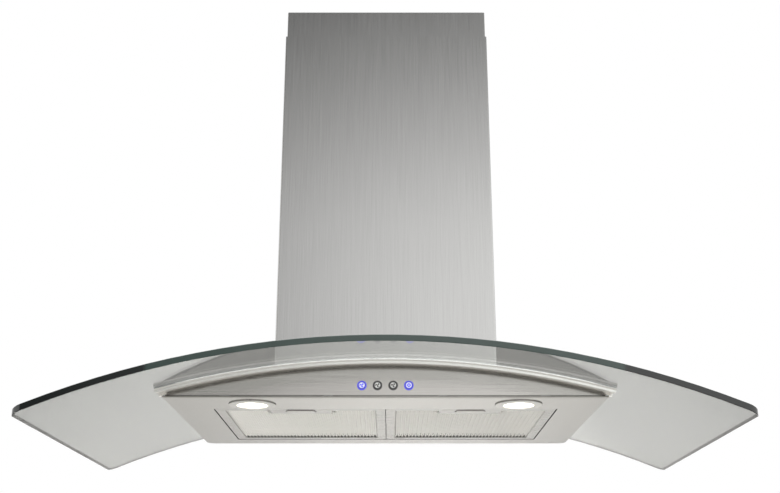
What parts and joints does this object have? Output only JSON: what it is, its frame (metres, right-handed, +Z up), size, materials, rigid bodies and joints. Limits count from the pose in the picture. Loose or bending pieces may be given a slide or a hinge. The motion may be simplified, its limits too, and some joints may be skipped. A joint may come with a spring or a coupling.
{
  "type": "wall-mounted range hood",
  "caption": "Chimney range hood with an arched glass canopy over a slim steel body with mesh grease filters, round lamps, push buttons and telescoping duct covers.",
  "frame": {"origin": "on the wall plane, in the middle of the hood's width, level with the flat underside of its body", "axes": "+X to the right of a person facing the hood, +Y towards the wall, +Z up"},
  "size_m": [0.9, 0.5, 0.6956],
  "materials": {
    "glass": "clear float glass, lightly green, polished edges",
    "stainless": "brushed across the width",
    "chrome": "bright plated",
    "filter_frame": "satin",
    "filter_mesh": "expanded mesh layers",
    "galvanised": "zinc coated sheet",
    "fastener": "zinc plated steel",
    "rubber": "black seal",
    "black_plastic": "moulded, fine texture",
    "motor": "cast and machined",
    "capacitor": "moulded can",
    "lamp_can": "spun",
    "lamp_lens": "frosted, lit",
    "circuit_board": "solder mask",
    "button": "glossy dark cap",
    "button_lit": "glossy cap with a blue light behind its symbol",
    "cable": "grey sheath"
  },
  "bodies": {
    "hood": {"glass_canopy": "glass", "bottom_tray": "stainless", "front_panel": "stainless", "chimney_lower": "stainless", "trim_strip": "chrome", "button_bezels": "chrome", "left_lamp_bezel": "chrome", "right_lamp_bezel": "chrome", "body_top": "galvanised", "air_neck": "galvanised", "blower_box": "galvanised", "hanger_plate": "galvanised", "motor_bracket": "galvanised", "cover_spacers": "galvanised", "board_clips": "galvanised", "panel_spacers": "galvanised", "glass_screws": "fastener", "blower_screws": "fastener", "cover_screws": "fastener", "damper_pin": "fastener", "glass_gasket": "rubber", "neck_seal": "rubber", "scroll_housing": "black_plastic", "outlet_collar": "black_plastic", "terminal_box": "black_plastic", "cable_gland": "black_plastic", "switches": "black_plastic", "cable_clips": "black_plastic", "motor": "motor", "capacitor": "capacitor", "left_lamp_can": "lamp_can", "right_lamp_can": "lamp_can", "left_lamp_lens": "lamp_lens", "right_lamp_lens": "lamp_lens", "control_board": "circuit_board", "left_lamp_board": "circuit_board", "right_lamp_board": "circuit_board", "control_cable": "cable", "lamp_leads": "cable", "motor_lead": "cable"},
    "chimney_upper": {"chimney_upper": "stainless", "chimney_bracket": "galvanised", "ear_screws": "fastener"},
    "impeller": {"impeller": "black_plastic", "motor_shaft": "fastener"},
    "left_filter": {"left_filter_frame": "filter_frame", "left_filter_mesh": "filter_mesh", "left_latch_spring": "fastener"},
    "right_filter": {"right_filter_frame": "filter_frame", "right_filter_mesh": "filter_mesh", "right_latch_spring": "fastener"},
    "left_latch": {"left_latch": "chrome"},
    "right_latch": {"right_latch": "chrome"},
    "front_flap": {"front_damper_flap": "black_plastic"},
    "rear_flap": {"rear_damper_flap": "black_plastic"},
    "speed_1_button": {"speed_1_button": "button_lit"},
    "speed_2_button": {"speed_2_button": "button"},
    "speed_3_button": {"speed_3_button": "button"},
    "light_button": {"light_button": "button_lit"}
  },
  "joints": [
    {"name": "chimney_slide", "type": "slide", "parent": "hood", "child": "chimney_upper", "axis": [0, 0, 1], "range_m": [-0.02, 0.36]},
    {"name": "impeller_spin", "type": "hinge", "parent": "hood", "child": "impeller", "pos_m": [0, -0.14, 0.185], "axis": [1, 0, 0], "continuous": true},
    {"name": "front_flap_hinge", "type": "hinge", "parent": "hood", "child": "front_flap", "pos_m": [0, -0.091, 0.338], "axis": [1, 0, 0], "range_deg": [-80, 0]},
    {"name": "rear_flap_hinge", "type": "hinge", "parent": "hood", "child": "rear_flap", "pos_m": [0, -0.091, 0.338], "axis": [1, 0, 0], "range_deg": [0, 80]},
    {"name": "left_filter_hinge", "type": "hinge", "parent": "hood", "child": "left_filter", "pos_m": [-0.11825, -0.04, 0.001], "axis": [1, 0, 0], "range_deg": [0, 60]},
    {"name": "left_latch_slide", "type": "slide", "parent": "left_filter", "child": "left_latch", "axis": [0, 1, 0], "range_m": [0, 0.006], "stiffness_N_per_m": 400, "springref_m": -0.004, "deforming": ["left_latch_spring"]},
    {"name": "right_filter_hinge", "type": "hinge", "parent": "hood", "child": "right_filter", "pos_m": [0.11825, -0.04, 0.001], "axis": [1, 0, 0], "range_deg": [0, 60]},
    {"name": "right_latch_slide", "type": "slide", "parent": "right_filter", "child": "right_latch", "axis": [0, 1, 0], "range_m": [0, 0.006], "stiffness_N_per_m": 400, "springref_m": -0.004, "deforming": ["right_latch_spring"]},
    {"name": "speed_1_press", "type": "slide", "parent": "hood", "child": "speed_1_button", "axis": [0, 1, 0], "range_m": [0, 0.0015], "stiffness_N_per_m": 300, "springref_m": -0.001},
    {"name": "speed_2_press", "type": "slide", "parent": "hood", "child": "speed_2_button", "axis": [0, 1, 0], "range_m": [0, 0.0015], "stiffness_N_per_m": 300, "springref_m": -0.001},
    {"name": "speed_3_press", "type": "slide", "parent": "hood", "child": "speed_3_button", "axis": [0, 1, 0], "range_m": [0, 0.0015], "stiffness_N_per_m": 300, "springref_m": -0.001},
    {"name": "light_press", "type": "slide", "parent": "hood", "child": "light_button", "axis": [0, 1, 0], "range_m": [0, 0.0015], "stiffness_N_per_m": 300, "springref_m": -0.001}
  ]
}
